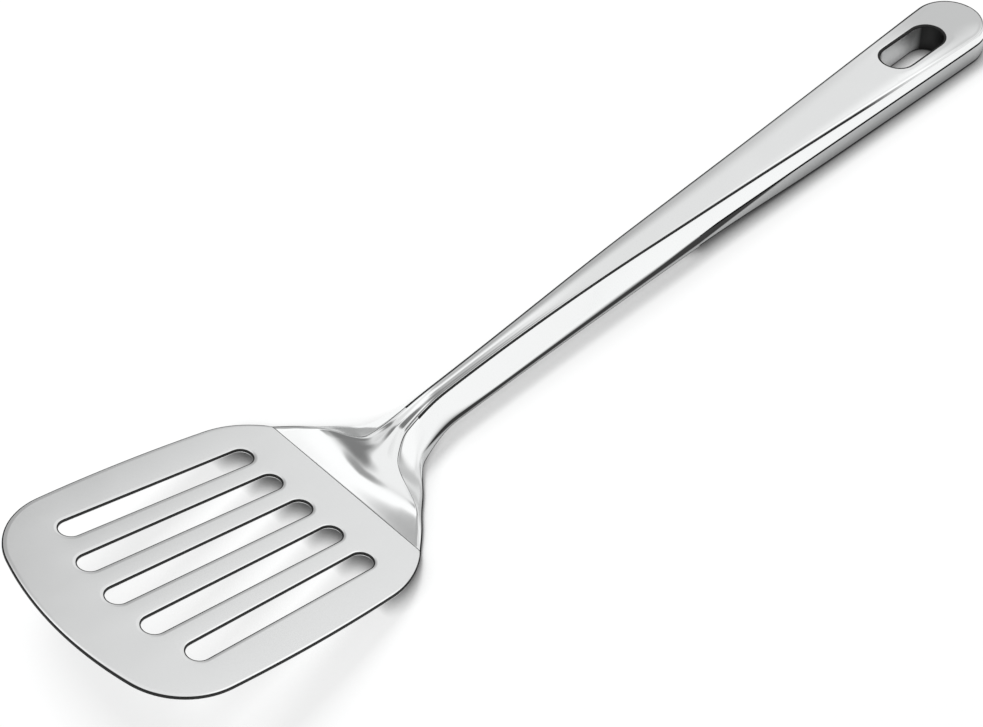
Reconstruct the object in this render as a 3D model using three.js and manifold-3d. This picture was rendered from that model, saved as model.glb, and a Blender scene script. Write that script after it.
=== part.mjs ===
// A slotted kitchen spatula of stainless steel: a blade and neck pressed from one sheet, a hollow handle
// welded up from a top and a bottom shell, and a drawn tube that lines the hanging slot.
// Millimetres, +Z up. It lies at rest: the crease behind the blade and the end of the handle touch z = 0,
// and the blade's front edge stands clear. X runs along the handle, and y = 0 is the mirror plane.
import * as THREE from 'three';
import { mergeVertices } from 'three/addons/utils/BufferGeometryUtils.js';
import Module from 'manifold-3d';

// Sheets and fits
const SHEET = 1.0; // blade, neck and tang
const SHELL = 0.8; // handle shells
const LINER_WALL = 0.8; // tube in the hanging slot
const WELD_GAP = 0.3; // between edges that a weld bead joins
const FIT = 0.3; // round the tang and the liner

// Blade, measured in its own plane from the crease forward
const BLADE_LENGTH = 90.4;
const BLADE_TILT = 16.5; // degrees that the blade rises towards its front
const BLADE_FRONT_WIDTH = 80.6; // between the sides, at the front corners
const BLADE_REAR_WIDTH = 76; // between the sides, carried on to the crease
const FRONT_RADIUS = 97; // bow of the front edge
const CORNER_RADIUS = 20;
const REAR_CORNER = 17; // length of side that the rear corner takes up
const REAR_CORNER_PULL = 0.45; // share of that length at which its tangents cross
const REAR_CORNER_DEPTH = 7.7; // how far each side draws in there, down to the crease
const CREASE_WIDTH = BLADE_REAR_WIDTH - 2 * REAR_CORNER_DEPTH;

// Slots, fanned a little towards the front
const SLOT_COUNT = 5;
const SLOT_PITCH = 12.2; // at their rear ends
const SLOT_WIDTH = 6.4;
const SLOT_FAN = 0.93; // degrees between neighbours
const SLOT_REAR_MARGIN = 12.1; // crease to the rear ends
const SLOT_FRONT_MARGIN = 15.1; // front ends to the front edge

// Places along the neck and handle, from the crease
const FOLD_X = 12; // hollow where the apron turns up into the neck
const BROW_X = 20; // where the neck turns over to run level
const WAIST_X = 35; // narrowest place
const ARCH_X = 97; // highest place
const WELD_X = 129; // end of the neck, start of the handle shells
const TIP_X = 253; // centre of the handle's round end

// Flat back of the neck and handle: width and height
const APRON_INSET = 1.8; // from each end of the crease to the flat of the apron
const APRON_WIDTH = CREASE_WIDTH - 2 * APRON_INSET;
const FOLD_BACK_WIDTH = 13;
const BROW_BACK_WIDTH = 5.8;
const WAIST_BACK_WIDTH = 4.4;
const WELD_BACK_WIDTH = 10.0;
const TIP_BACK_WIDTH = 22.4;
const FOLD_BACK_HEIGHT = 3.6;
const BROW_BACK_HEIGHT = 9.0;
const WAIST_BACK_HEIGHT = 11.8;
const ARCH_BACK_HEIGHT = 13.5;
const WELD_BACK_HEIGHT = 12.8;
const TIP_BACK_HEIGHT = 9.2;

// Knee, where the sloping flank turns down into the side wall, and on the handle its two shells meet
const FOLD_KNEE_WIDTH = 30;
const BROW_KNEE_WIDTH = 17;
const WAIST_KNEE_WIDTH = 13.2;
const WELD_KNEE_WIDTH = 15.6;
const TIP_KNEE_WIDTH = 24.4;
const FOLD_KNEE_HEIGHT = 1.8;
const BROW_KNEE_HEIGHT = 4.4;
const WAIST_KNEE_HEIGHT = 5.6;
const WELD_KNEE_HEIGHT = 6.5;
const TIP_KNEE_HEIGHT = 6.9;

// Lower edge of the side wall
const FOLD_EDGE_WIDTH = 36;
const BROW_EDGE_WIDTH = 19.8;
const WAIST_EDGE_WIDTH = 13.4;
const FOLD_EDGE_HEIGHT = 0.6;
const BROW_EDGE_HEIGHT = 2.0;
const WAIST_EDGE_HEIGHT = 3.6;
const WELD_EDGE_HEIGHT = 2.8;

// Tang, the stretch of the pressing that runs on inside the handle
const TANG_LENGTH = 32;
const JOGGLE = 10; // length over which it steps down under the top shell
const TANG_FLANK = 0.6; // share of the sloping flank that it covers

// Hanging slot, inside its liner
const HANG_LENGTH = 24.8;
const HANG_WIDTH = 10.6;
const HANG_SETBACK = 18.1; // from its middle to the centre of the round end

const STEEL = { color: 0xc6c8c9, metalness: 1, roughness: 0.24 };
const STEP = 6; // spacing of the sections along the handle
const NECK_STEP = 2; // closer spacing through the curved neck
const TIP_SECTIONS = 9; // round the handle's end
const ARC_STEPS = 12; // per arc of an outline
const OVERCUT = 6; // how far a cutting form runs past what it cuts
const BURIED = 1.5; // length of neck that lies inside the blade, so that the two fuse
const SKIN = 0.12; // depth under a sheet's faces at which a fused form starts
const NEAR = 1e-4; // points this close are one

const tilt = THREE.MathUtils.degToRad(BLADE_TILT);
const wasm = await Module();
wasm.setup();

// Smooth curve through [x, size] stations, with no overshoot between them
function formLine(...stations) {
  const slope = (i) => (stations[i + 1][1] - stations[i][1]) / (stations[i + 1][0] - stations[i][0]);
  const last = stations.length - 1;
  const tangent = (i) => {
    if (i === 0) return slope(0);
    if (i === last) return slope(last - 1);
    const before = slope(i - 1);
    const after = slope(i);
    return before * after <= 0 ? 0 : (2 * before * after) / (before + after);
  };
  return (x) => {
    const next = stations.findIndex(([at]) => at > x);
    const i = next < 0 ? last - 1 : Math.max(next - 1, 0);
    const [x0, v0] = stations[i];
    const [x1, v1] = stations[i + 1];
    const span = x1 - x0;
    const t = THREE.MathUtils.clamp((x - x0) / span, 0, 1);
    const bend = (1 - t) * (1 - t) * t * span * tangent(i) - t * t * (1 - t) * span * tangent(i + 1);
    return v0 + (v1 - v0) * t * t * (3 - 2 * t) + bend;
  };
}

const backWidth = formLine(
  [0, APRON_WIDTH], [FOLD_X, FOLD_BACK_WIDTH], [BROW_X, BROW_BACK_WIDTH], [WAIST_X, WAIST_BACK_WIDTH],
  [WELD_X, WELD_BACK_WIDTH], [TIP_X, TIP_BACK_WIDTH],
);
const backHeight = formLine(
  [0, SHEET], [FOLD_X, FOLD_BACK_HEIGHT], [BROW_X, BROW_BACK_HEIGHT], [WAIST_X, WAIST_BACK_HEIGHT],
  [ARCH_X, ARCH_BACK_HEIGHT], [WELD_X, WELD_BACK_HEIGHT], [TIP_X, TIP_BACK_HEIGHT],
);
const kneeWidth = formLine(
  [0, (APRON_WIDTH + CREASE_WIDTH) / 2], [FOLD_X, FOLD_KNEE_WIDTH], [BROW_X, BROW_KNEE_WIDTH],
  [WAIST_X, WAIST_KNEE_WIDTH], [WELD_X, WELD_KNEE_WIDTH], [TIP_X, TIP_KNEE_WIDTH],
);
const kneeHeight = formLine(
  [0, SHEET / 2], [FOLD_X, FOLD_KNEE_HEIGHT], [BROW_X, BROW_KNEE_HEIGHT], [WAIST_X, WAIST_KNEE_HEIGHT],
  [WELD_X, WELD_KNEE_HEIGHT], [TIP_X, TIP_KNEE_HEIGHT],
);
const edgeWidth = formLine(
  [0, CREASE_WIDTH], [FOLD_X, FOLD_EDGE_WIDTH], [BROW_X, BROW_EDGE_WIDTH], [WAIST_X, WAIST_EDGE_WIDTH],
  [WELD_X, WELD_KNEE_WIDTH], [TIP_X, TIP_KNEE_WIDTH],
);
const edgeHeight = formLine(
  [0, 0], [FOLD_X, FOLD_EDGE_HEIGHT], [BROW_X, BROW_EDGE_HEIGHT], [WAIST_X, WAIST_EDGE_HEIGHT],
  [WELD_X, WELD_EDGE_HEIGHT], [TIP_X, 0],
);

// Half a section at x, as [y, z] points from the lower edge up to the back
const halfSection = (x) => [
  [edgeWidth(x) / 2, edgeHeight(x)],
  [kneeWidth(x) / 2, kneeHeight(x)],
  [backWidth(x) / 2, backHeight(x)],
];

// Whole open line from the edge on one side, over the back, to the edge on the other
const mirrored = (half) => [...half.map(([y, z]) => [-y, z]), ...half.toReversed()];

// The line moved inwards by the given depth, square to itself
function inset(line, depth) {
  const normals = line.slice(1).map(([y, z], i) => {
    const run = Math.hypot(y - line[i][0], z - line[i][1]);
    return [(z - line[i][1]) / run, (line[i][0] - y) / run];
  });
  return line.map(([y, z], i) => {
    const a = normals[Math.max(i - 1, 0)];
    const b = normals[Math.min(i, normals.length - 1)];
    const share = depth / (1 + a[0] * b[0] + a[1] * b[1]);
    return [y + (a[0] + b[0]) * share, z + (a[1] + b[1]) * share];
  });
}

// The line closed by two ends that run straight down, or up for a negative drop
const dropped = (line, drop) => [
  [line[0][0], line[0][1] - drop],
  ...line,
  [line.at(-1)[0], line.at(-1)[1] - drop],
];

// Sections between two places, evenly spaced
function places(from, to, step) {
  const count = Math.max(1, Math.ceil((to - from) / step));
  return Array.from({ length: count + 1 }, (_, i) => from + ((to - from) * i) / count);
}

// Rings of points for a form whose section at x is given, straight across the handle
const straightRings = (xs, sectionAt) => xs.map((x) => sectionAt(x).map(([y, z]) => [x, y, z]));

// Rings that swing a section about the centre of the round end, until its two sides meet
const tipRings = (section) => Array.from({ length: TIP_SECTIONS }, (_, i) => {
  const angle = (Math.PI / 2) * (1 - (i + 1) / TIP_SECTIONS);
  return section.map(([y, z]) => [TIP_X + Math.abs(y) * Math.cos(angle), y * Math.sin(angle), z]);
});

// Closed solid through rings of equal length
function loft(rings) {
  const size = rings[0].length;
  const index = [];
  for (let r = 0; r + 1 < rings.length; r += 1) {
    for (let p = 0; p < size; p += 1) {
      const a = r * size + p;
      const b = r * size + ((p + 1) % size);
      index.push(a, a + size, b, b, a + size, b + size);
    }
  }
  const flat = (ring) => ring.map(([, y, z]) => new THREE.Vector2(y, z));
  const cap = (ring) => THREE.ShapeUtils.triangulateShape(flat(ring), []);
  const end = (rings.length - 1) * size;
  for (const [a, b, c] of cap(rings[0])) index.push(c, b, a);
  const closesByItself = rings.at(-1).every(([, y]) => Math.abs(y) < NEAR);
  if (!closesByItself) for (const [a, b, c] of cap(rings.at(-1))) index.push(end + a, end + b, end + c);
  const geometry = new THREE.BufferGeometry();
  geometry.setAttribute('position', new THREE.Float32BufferAttribute(rings.flat(2), 3));
  geometry.setIndex(index);
  return solid(geometry);
}

// Three.js geometry as a solid for joining and cutting
function solid(source) {
  const geometry = source.clone();
  geometry.deleteAttribute('normal');
  geometry.deleteAttribute('uv');
  const merged = mergeVertices(geometry, NEAR);
  const triVerts = [];
  const index = merged.index.array;
  for (let i = 0; i < index.length; i += 3) {
    const [a, b, c] = index.slice(i, i + 3);
    if (a !== b && b !== c && c !== a) triVerts.push(a, b, c);
  }
  return new wasm.Manifold(new wasm.Mesh({
    numProp: 3,
    vertProperties: new Float32Array(merged.attributes.position.array),
    triVerts: new Uint32Array(triVerts),
  }));
}

function piece(name, body) {
  const { vertProperties, triVerts } = body.getMesh();
  const geometry = new THREE.BufferGeometry();
  geometry.setAttribute('position', new THREE.BufferAttribute(vertProperties, 3));
  geometry.setIndex(new THREE.BufferAttribute(triVerts, 1));
  geometry.computeVertexNormals();
  const mesh = new THREE.Mesh(geometry, new THREE.MeshStandardMaterial(STEEL));
  mesh.name = name;
  return mesh;
}

// Obround outline between two centres
function obround(path, from, to, radius) {
  const angle = Math.atan2(to.y - from.y, to.x - from.x);
  path.absarc(to.x, to.y, radius, angle - Math.PI / 2, angle + Math.PI / 2, false);
  path.absarc(from.x, from.y, radius, angle + Math.PI / 2, angle + (3 * Math.PI) / 2, false);
  path.closePath();
  return path;
}

// Blade outline with -x forward: bowed front, round corners, sides that draw in, eased rear corners
function bladeOutline() {
  const bowCentre = -BLADE_LENGTH + FRONT_RADIUS;
  const draw = Math.atan2((BLADE_FRONT_WIDTH - BLADE_REAR_WIDTH) / 2, BLADE_LENGTH - CORNER_RADIUS);
  const sideAt = (x) => BLADE_REAR_WIDTH / 2 - x * Math.tan(draw);
  // centre of a corner: its radius inside the side, and inside the bow of the front
  const inner = FRONT_RADIUS - CORNER_RADIUS;
  const offset = BLADE_REAR_WIDTH / 2 - CORNER_RADIUS / Math.cos(draw);
  const a = 1 + Math.tan(draw) ** 2;
  const b = -2 * bowCentre - 2 * offset * Math.tan(draw);
  const c = bowCentre ** 2 + offset ** 2 - inner ** 2;
  const cornerX = (-b - Math.sqrt(b * b - 4 * a * c)) / (2 * a);
  const cornerY = offset - cornerX * Math.tan(draw);
  const bowAngle = Math.atan2(cornerY, cornerX - bowCentre);
  const sideAngle = Math.PI / 2 - draw;
  const half = CREASE_WIDTH / 2;
  const crossing = -REAR_CORNER * REAR_CORNER_PULL;
  const shape = new THREE.Shape();
  shape.moveTo(0, -half);
  shape.lineTo(0, half);
  shape.quadraticCurveTo(crossing, sideAt(crossing), -REAR_CORNER, sideAt(-REAR_CORNER));
  shape.absarc(cornerX, cornerY, CORNER_RADIUS, sideAngle, bowAngle, false);
  shape.absarc(bowCentre, 0, FRONT_RADIUS, bowAngle, 2 * Math.PI - bowAngle, false);
  shape.absarc(cornerX, -cornerY, CORNER_RADIUS, -bowAngle, -sideAngle, false);
  shape.lineTo(-REAR_CORNER, -sideAt(-REAR_CORNER));
  shape.quadraticCurveTo(crossing, -sideAt(crossing), 0, -half);
  return shape;
}

// Slot number k from the middle: its front end keeps one margin to the bowed front edge
function bladeSlot(k) {
  const radius = SLOT_WIDTH / 2;
  const fan = THREE.MathUtils.degToRad(SLOT_FAN * k);
  const heading = new THREE.Vector2(-Math.cos(fan), Math.sin(fan));
  const rear = new THREE.Vector2(-SLOT_REAR_MARGIN - radius, k * SLOT_PITCH);
  const reach = FRONT_RADIUS - SLOT_FRONT_MARGIN - radius;
  const fromBow = rear.clone().sub(new THREE.Vector2(FRONT_RADIUS - BLADE_LENGTH, 0));
  const along = fromBow.dot(heading);
  const length = -along + Math.sqrt(along * along - fromBow.lengthSq() + reach * reach);
  const front = rear.clone().addScaledVector(heading, length);
  return obround(new THREE.Path(), rear, front, radius);
}

function bladePlate() {
  const shape = bladeOutline();
  for (let i = 0; i < SLOT_COUNT; i += 1) shape.holes.push(bladeSlot(i - (SLOT_COUNT - 1) / 2));
  const sheet = { depth: SHEET, bevelEnabled: false, curveSegments: ARC_STEPS };
  return solid(new THREE.ExtrudeGeometry(shape, sheet).rotateY(tilt));
}

// Channel of the neck, with its first stretch buried in the blade
function neckChannel() {
  const xs = [...places(0, WAIST_X, NECK_STEP), ...places(WAIST_X, WELD_X, STEP).slice(1)];
  const rise = BURIED * Math.tan(tilt);
  const thick = SHEET / Math.cos(tilt);
  const buried = mirrored([
    [APRON_WIDTH / 2, rise + SKIN],
    [APRON_WIDTH / 2 - SKIN, rise + thick / 2],
    [APRON_WIDTH / 2 - 2 * SKIN, rise + thick - SKIN],
  ]).map(([y, z]) => [-BURIED, y, z]);
  const outside = loft([buried, ...straightRings(xs, (x) => mirrored(halfSection(x)))]);
  const hollow = (x) => dropped(inset(mirrored(halfSection(x)), SHEET), OVERCUT);
  const inside = loft(straightRings([...xs.slice(1), WELD_X + OVERCUT], hollow));
  return outside.subtract(inside);
}

// Back of the section with only part of its flanks
function tangLine(x) {
  const [, knee, back] = halfSection(x);
  const low = [0, 1].map((i) => back[i] + (knee[i] - back[i]) * TANG_FLANK);
  return mirrored([low, back]);
}

// Tang: leaves the neck's own sheet, steps down and runs on under the top shell
function tang() {
  const seat = SHELL + FIT;
  const stepped = (x) => {
    const down = THREE.MathUtils.smoothstep(x, WELD_X - JOGGLE, WELD_X);
    const top = THREE.MathUtils.lerp(SKIN, seat, down);
    const bottom = THREE.MathUtils.lerp(SHEET - SKIN, seat + SHEET, down);
    return [...inset(tangLine(x), top), ...inset(tangLine(x), bottom).toReversed()];
  };
  const joggled = places(WELD_X - JOGGLE, WELD_X, NECK_STEP);
  const level = places(WELD_X, WELD_X + TANG_LENGTH, STEP).slice(1);
  return loft(straightRings([...joggled, ...level], stepped));
}

// Solid form of the handle between two of its lines, from the given place to the round end
function handleForm(from, sectionAt) {
  const rings = straightRings(places(from, TIP_X, STEP), sectionAt);
  return loft([...rings, ...tipRings(sectionAt(TIP_X))]);
}

const hangShape = (grow) => {
  const reach = (HANG_LENGTH - HANG_WIDTH) / 2;
  const middle = TIP_X - HANG_SETBACK;
  const from = new THREE.Vector2(middle - reach, 0);
  return obround(new THREE.Shape(), from, new THREE.Vector2(middle + reach, 0), HANG_WIDTH / 2 + grow);
};

function hangPrism(shape) {
  const depth = TIP_BACK_HEIGHT + WELD_BACK_HEIGHT + 2 * OVERCUT;
  const prism = new THREE.ExtrudeGeometry(shape, { depth, bevelEnabled: false, curveSegments: ARC_STEPS });
  return solid(prism.translate(0, 0, -OVERCUT));
}

const shellFront = WELD_X + WELD_GAP;
const hangCut = hangPrism(hangShape(LINER_WALL + FIT));

// Top shell: the flat back and the sloping flanks, open below
function topShell() {
  const line = (x) => {
    const [, [y, z], back] = halfSection(x);
    return mirrored([[y, z + WELD_GAP / 2], back]);
  };
  const outside = handleForm(shellFront, line);
  const inside = handleForm(shellFront - OVERCUT, (x) => dropped(inset(line(x), SHELL), OVERCUT));
  return outside.subtract(inside).subtract(hangCut);
}

// Bottom shell: side walls, floor and a front wall, open above
function bottomShell() {
  const line = (x) => {
    const [edge, [y, z]] = halfSection(x);
    return mirrored([[y, z - WELD_GAP / 2], edge]);
  };
  const outside = handleForm(shellFront, (x) => line(x).toReversed());
  const inside = handleForm(
    shellFront + SHELL,
    (x) => dropped(inset(line(x), -SHELL), -OVERCUT).toReversed(),
  );
  return outside.subtract(inside).subtract(hangCut);
}

// Liner: its ends are flush with the back and the floor of the handle
function hangLiner() {
  const ring = hangShape(LINER_WALL);
  ring.holes.push(hangShape(0));
  return hangPrism(ring).intersect(handleForm(shellFront, (x) => mirrored(halfSection(x))));
}

const spatula = new THREE.Group();
spatula.add(
  piece('slotted_blade', bladePlate().add(neckChannel()).add(tang())),
  piece('handle_top_shell', topShell()),
  piece('handle_bottom_shell', bottomShell()),
  piece('hang_slot_liner', hangLiner()),
);

// Origin at the middle of its length, on the surface that it lies on
const front = -BLADE_LENGTH * Math.cos(tilt);
const end = TIP_X + TIP_KNEE_WIDTH / 2;
spatula.position.x = -(front + end) / 2;

export default spatula;
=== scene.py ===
import math

import bmesh
import bpy
from mathutils import Matrix, Vector


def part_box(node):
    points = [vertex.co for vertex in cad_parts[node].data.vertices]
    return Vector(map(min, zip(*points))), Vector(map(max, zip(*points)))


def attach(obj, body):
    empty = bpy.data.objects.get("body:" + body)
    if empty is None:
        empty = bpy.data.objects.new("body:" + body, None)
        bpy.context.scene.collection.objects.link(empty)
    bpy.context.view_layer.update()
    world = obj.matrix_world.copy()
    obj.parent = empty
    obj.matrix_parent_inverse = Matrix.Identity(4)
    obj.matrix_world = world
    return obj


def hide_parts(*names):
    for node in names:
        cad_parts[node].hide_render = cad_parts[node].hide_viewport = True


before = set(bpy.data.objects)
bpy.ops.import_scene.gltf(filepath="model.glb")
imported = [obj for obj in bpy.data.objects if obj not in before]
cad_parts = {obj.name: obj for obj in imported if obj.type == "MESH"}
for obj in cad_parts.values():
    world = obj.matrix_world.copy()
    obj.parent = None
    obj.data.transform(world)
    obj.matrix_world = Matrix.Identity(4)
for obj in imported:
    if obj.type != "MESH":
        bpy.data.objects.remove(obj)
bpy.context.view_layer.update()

# A slotted spatula of stainless steel: a blade and neck pressed from one sheet, a hollow polished handle
# of two welded shells, and a drawn tube that lines the hanging slot. It lies on a pale studio floor.
# Every size is in millimetres, measured from the crease behind the blade, and turned to metres at the end.
MM = 0.001

# Sheets, rims and seams
SHEET = 1.0
SHELL = 0.8
RIM_WIDTH = 1.25  # margin of a cut edge that is drawn down by the shear
RIM_FALL = 0.16  # how far it is drawn down
EDGE_ROLL = 0.12  # rounding of a cut edge, tumbled
TORN = 0.78  # share of a cut wall that is torn, above the burnished rest; the torn band is painted dark as shade
SEAM = 0.6  # groove between the two shells of the handle
SEAM_START = 8  # length behind the weld over which the groove opens

# Blade, in its own plane from the crease forward
BLADE_LENGTH = 90.4
BLADE_TILT = math.radians(16.5)
BLADE_FRONT_WIDTH = 79.9
BLADE_REAR_WIDTH = 76
SIDE_BOW = 0.8  # how far each side stands out between its ends
FRONT_RADIUS = 97
CORNER_RADIUS = 20
REAR_CORNER = 17
REAR_CORNER_PULL = 0.45
REAR_CORNER_DEPTH = 7.7
CREASE_WIDTH = BLADE_REAR_WIDTH - 2 * REAR_CORNER_DEPTH
BEND_START = 1.9  # where the flat of the blade starts to turn into the crease

# Slots of the blade
SLOT_COUNT = 5
SLOT_PITCH = 12.2
SLOT_WIDTH = 6.4
SLOT_FAN = math.radians(0.93)
SLOT_REAR_MARGIN = 12.1
SLOT_FRONT_MARGIN = 15.1

# Places along the neck and handle
BOW_X = 5
APRON_X = 9
FOLD_X = 13
NOSE_X = 16.5
BROW_X = 20
RIDGE_X = 25  # where the fine ridge of the shoulders becomes the ridge of the neck
WAIST_X = 35
SHOULDER_END_X = 0.8 * WAIST_X
SLIM_X = 55  # behind this the wheel reaches down the whole flank
ARCH_X = 97
WELD_X = 129
TIP_X = 251.9
PLACES = (0, BOW_X, APRON_X, FOLD_X, NOSE_X, BROW_X, WAIST_X, WELD_X, TIP_X)

# Sections there: width and height of the back, of the knee below the flank, of the lower edge
KNEE_INSET = 2.1
BACK_INSET = 2.9
BACK_WIDTHS = (CREASE_WIDTH - 2 * BACK_INSET, 46.4, 37, 14, 8.8, 6.2, 4.4, 10.7, 22.4)
BACK_HEIGHTS = (SHEET, 1.6, 2.9, 5.4, 7.6, 9.2, 11.8, 12.8, 9.2)
BACK_DROPS = (0, 0.3, 0.95, 1.0, 0.6, 0.25, 0, 0, 0)  # fall of the apron and nose to their sides
KNEE_WIDTHS = (CREASE_WIDTH - 2 * KNEE_INSET, 48, 39.6, 27, 21, 17, 13.2, 15.6, 24.4)
KNEE_HEIGHTS = (SHEET, 1.25, 1.5, 2.2, 3.4, 4.9, 6.2, 7.4, 6.9)
EDGE_WIDTHS = (CREASE_WIDTH, 51, 42, 34.2, 26, 19.8, 13.4, 15.6, 24.4)
EDGE_HEIGHTS = (SHEET, 1.02, 1.05, 1.1, 1.5, 2.1, 3.6, 2.8, 0)
ARCH_HEIGHT = 13.5
KNEE_SWELL = ((114, 6.6), (165, 7.0))  # places and heights beside the weld, between which the knee swells
HOLD = (185, 0.25)  # place behind the weld where the handle's floor is down by the table, and its height
BACK_TURNS = (0.3, 0.4, 0.5, 0.7, 0.9, 1.1, 1.0, 1.15, 1.2)  # rounding between back and flank
KNEE_TURNS = (0.3, 0.4, 0.6, 1.0, 1.5, 2.0, 2.6, 0.5, 0.5)  # rounding between flank and wall
CROWN = 0.045  # rise of the back for each half of its width
FLOOR_TURN = 0.8  # rounding between the wall and floor of the handle
TIP_LIFT = 0.65  # share of the wall's height by which the floor rises at the handle's end
TIP_CURVE = 1.5  # how late in the round end that rise comes
EASE = 1.2  # half length over which a form line is averaged by the blade
EASE_MORE = 5  # what is added to it along the slim neck
EASE_FROM, EASE_TO = 40, 80

# Hanging slot, inside its liner
HANG_LENGTH = 24.8
HANG_WIDTH = 10.6
HANG_SETBACK = 17.6
HANG_X = TIP_X - HANG_SETBACK
LIP_TURN = 0.6  # rounding of the liner's lip
LIP_WIDTH = 0.85  # liner's wall with the weld round it
LIP_DEPTH = 1.6
LIP_SINK = 0.12  # how far the faces round the slot are drawn in with the lip
PATCH_REACH = 16.8  # half length of the handle's faces that is drawn in round the slot
PATCH_ROWS = 18
PATCH_SHARES = (0.8, 0.55, 0.4, 0.3, 0.2, 0.1, 0)  # rows of those faces, from their border to the lip
SINK_SHARE = 0.4  # share of that way over which they sink

# Where shade is painted on the handle, and the narrowest streak
LINE_FADE_FROM, LINE_FADE_TO = HANG_X - 36, HANG_X - 6  # where the painted dark line on the near ridge fades out
GREY_FROM, GREY_TO = HANG_X - 10, HANG_X + 14  # where the back is painted greyer towards the end, as shade
BAND_RUN = 45  # length behind the weld over which the painted dark band runs out
BAND_START, BAND_END = 4.4, 7  # height of its lower border at the weld and at its end
BAND_SOFT = 0.3  # half of the width over which that border fades
SHOWN_WIDTH = 0.4  # narrowest streak that shows in the render

# Camera that took the photograph, in its frame of 983 x 727 pixels
IMAGE_WIDTH = 983
FOCAL_PIXELS = 2000
SENSOR = 36
CAMERA_PLACE = (-182.83, -281.47, 409.8)
CAMERA_FORWARD = Vector((0.43381, 0.5157, -0.73882))
CAMERA_UP = Vector((0.5337, 0.51359, 0.67186))

# Fineness of the meshes
TURN_STEPS = 8
FLATS = (0.06, 0.25, 0.5, 0.75, 0.94)
RIM_STEPS = 5
TIP_STEPS = 20
LIP_STEPS = 8
REAR_STEPS = 24
SIDE_STEPS = 14
CORNER_STEPS = 20
FRONT_STEPS = 16
SLOT_END_STEPS = 20
SLOT_SIDE_STEPS = 8
BEND_SHARES = (1, 0.7, 0.42, 0.2, 0.05)  # rings round the crease
NECK_START = 0.16  # first ring behind the crease
CREASE_STEP, CREASE_END = 0.3, 1.5  # spacing of the rings by the crease, and where that ends
FOLD_STEP, FOLD_END = 0.6, 40  # the same in the folds of the neck
RING_STEP = 2  # spacing of the rings along the rest
PROBE = 0.2  # distance to either side at which a slope is taken
SHARP = math.radians(50)

# Studio, in metres
FLOOR_REACH = 4
WHITE_FROM, WHITE_TO = 0.2, 0.6  # distance over which the floor turns to plain white
TENT_LOW, TENT_HIGH = 0.45, 0.82  # brightness of the tent by the floor and overhead
LAMP_PLACE = (0.05, 0.93, 1.46)
LAMP_SIZE = 0.8
LAMP_WATTS = 30

# The crease's place in the frame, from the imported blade's front end
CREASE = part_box("slotted_blade")[0].x / MM + BLADE_LENGTH * math.cos(BLADE_TILT)


def placed(x, y, z):
    """A point measured from the crease, in the frame's metres."""
    return Vector(((x + CREASE) * MM, y * MM, z * MM))


def on_blade(u, y, height, tilt=BLADE_TILT):
    """A point u forward of the crease and height above the blade's underside."""
    x = -u * math.cos(BLADE_TILT) + height * math.sin(tilt)
    return placed(x, y, u * math.sin(BLADE_TILT) + height * math.cos(tilt))


def smooth(low, high, x):
    """0 below low, 1 above high, and an even S between them."""
    t = min(max((x - low) / (high - low), 0), 1)
    return t * t * (3 - 2 * t)


# Form lines of the neck and handle


def form_line(stations):
    """Smooth curve through (x, size) stations, with no overshoot between them."""
    slopes = [(b[1] - a[1]) / (b[0] - a[0]) for a, b in zip(stations, stations[1:])]
    middle = [0 if p * q <= 0 else 2 * p * q / (p + q) for p, q in zip(slopes, slopes[1:])]
    tangents = [slopes[0], *middle, slopes[-1]]

    def size(x):
        i = max(0, min(sum(at <= x for at, _ in stations) - 1, len(stations) - 2))
        (x0, v0), (x1, v1) = stations[i], stations[i + 1]
        span = x1 - x0
        t = min(max((x - x0) / span, 0), 1)
        bend = (1 - t) ** 2 * t * span * tangents[i] - t * t * (1 - t) * span * tangents[i + 1]
        return v0 + (v1 - v0) * t * t * (3 - 2 * t) + bend

    return size


def eased(stations):
    """A form line averaged along the handle, so that reflections run on without a break."""
    line = form_line(stations)

    def size(x):
        reach = min(x / 2, EASE + EASE_MORE * smooth(EASE_FROM, EASE_TO, x))
        shares = (-1, -0.6, -0.2, 0.2, 0.6, 1)
        return sum(line(x + reach * share) for share in shares) / len(shares)

    return size


back_width = eased([*zip(PLACES, BACK_WIDTHS)])
back_height = eased(sorted([*zip(PLACES, BACK_HEIGHTS), (ARCH_X, ARCH_HEIGHT)]))
back_drop = eased([*zip(PLACES, BACK_DROPS)])
back_turn = form_line([*zip(PLACES, BACK_TURNS)])
knee_width = eased([*zip(PLACES, KNEE_WIDTHS)])
knee_height = eased(sorted([*zip(PLACES, KNEE_HEIGHTS), *KNEE_SWELL]))
knee_turn = form_line([*zip(PLACES, KNEE_TURNS)])
edge_width = eased([*zip(PLACES, EDGE_WIDTHS)])
edge_height = eased(sorted([*zip(PLACES, EDGE_HEIGHTS), HOLD]))


# Sections of sheet, each a closed ring of (y, height) points


def rounded(corners, turns):
    """The line through the corners, with each inner corner turned and points shared over its flats."""
    points = [corners[0]]
    start = corners[0]
    for before, corner, after, turn in zip(corners, corners[1:], corners[2:], turns):
        a = corner + (before - corner).normalized() * min(turn, 0.48 * (before - corner).length)
        b = corner + (after - corner).normalized() * min(turn, 0.48 * (after - corner).length)
        points += [start.lerp(a, t) for t in FLATS]
        for i in range(TURN_STEPS + 1):
            t = i / TURN_STEPS
            points.append(a * (1 - t) ** 2 + corner * 2 * t * (1 - t) + b * t * t)
        start = b
    return points + [start.lerp(corners[-1], t) for t in FLATS] + [corners[-1]]


def crowned(points, rise, peak):
    """The line with its back raised in the middle, the more pointed the higher the peak."""
    half = points[len(FLATS) + 1].x
    return [Vector((p.x, p.y + rise * max(0, 1 - (p.x / half) ** 2) ** peak)) for p in points]


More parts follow.
